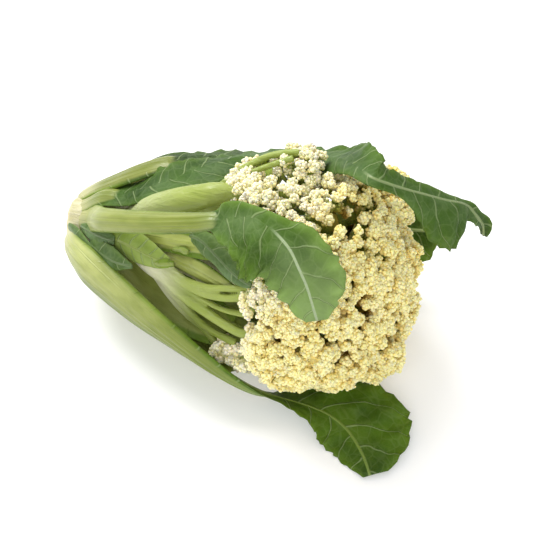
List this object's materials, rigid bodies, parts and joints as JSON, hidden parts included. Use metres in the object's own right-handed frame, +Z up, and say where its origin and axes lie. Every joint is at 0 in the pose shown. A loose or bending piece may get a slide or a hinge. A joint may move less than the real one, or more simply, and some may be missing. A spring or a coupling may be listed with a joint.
{
  "type": "stem cauliflower",
  "caption": "Loose-curd cauliflower head lying on its side: lumpy pale yellow curds on long green stalks, wrapped by broad-ribbed leaves with wavy blades.",
  "frame": {"origin": "under the middle of the whole head, on the surface that it lies on", "axes": "+X along the head from the cut butt to the curd, +Z up, -Y the side that the longest leaf lies out to"},
  "size_m": [0.263, 0.1638, 0.1601],
  "materials": {
    "stem": "satin pale plant skin, cream on the cut face",
    "rib": "satin pale green leaf rib with fine lengthwise lines",
    "leaf": "matt dark green leaf with paler veins and a bluish bloom",
    "stalk": "satin yellow-green stalk",
    "curd": "matt, finely knobbly, pale yellow",
    "pale_curd": "matt, finely knobbly, cream to pinkish white"
  },
  "bodies": {
    "root": {"branch_front": "stalk", "branch_front_low": "stalk", "branch_inner_front": "stalk", "branch_inner_rear": "stalk", "branch_inner_top": "stalk", "branch_inner_under": "stalk", "branch_rear_high": "stalk", "branch_rear_low": "stalk", "branch_shoulder_front": "stalk", "branch_shoulder_rear": "stalk", "branch_top": "stalk", "branch_under": "stalk", "curd_crown": "curd", "curd_middle_01": "curd", "curd_middle_02": "curd", "curd_middle_03": "curd", "curd_middle_04": "curd", "curd_middle_05": "curd", "curd_middle_06": "curd", "curd_middle_07": "curd", "curd_middle_08": "curd", "curd_middle_09": "curd", "curd_middle_10": "curd", "curd_rim_01": "pale_curd", "curd_rim_02": "curd", "curd_rim_03": "curd", "curd_rim_04": "curd", "curd_rim_05": "curd", "curd_rim_06": "curd", "curd_rim_07": "curd", "curd_rim_08": "curd", "curd_rim_09": "curd", "curd_rim_10": "pale_curd", "curd_shoulder_01": "curd", "curd_shoulder_02": "curd", "curd_shoulder_03": "curd", "curd_shoulder_04": "curd", "curd_shoulder_05": "curd", "curd_skirt_01": "pale_curd", "curd_skirt_02": "pale_curd", "curd_skirt_03": "curd", "curd_skirt_04": "curd", "curd_skirt_05": "curd", "curd_skirt_06": "curd", "curd_skirt_07": "curd", "curd_skirt_08": "curd", "curd_skirt_09": "curd", "curd_skirt_10": "curd", "leaf_back": "leaf", "leaf_bottom": "leaf", "leaf_bract": "rib", "leaf_front": "leaf", "leaf_inner": "rib", "leaf_rear_high": "rib", "leaf_rear_low": "leaf", "leaf_small": "leaf", "leaf_top": "leaf", "leaf_under": "rib", "leaf_under_front": "rib", "main_stem": "stem"}
  },
  "joints": []
}
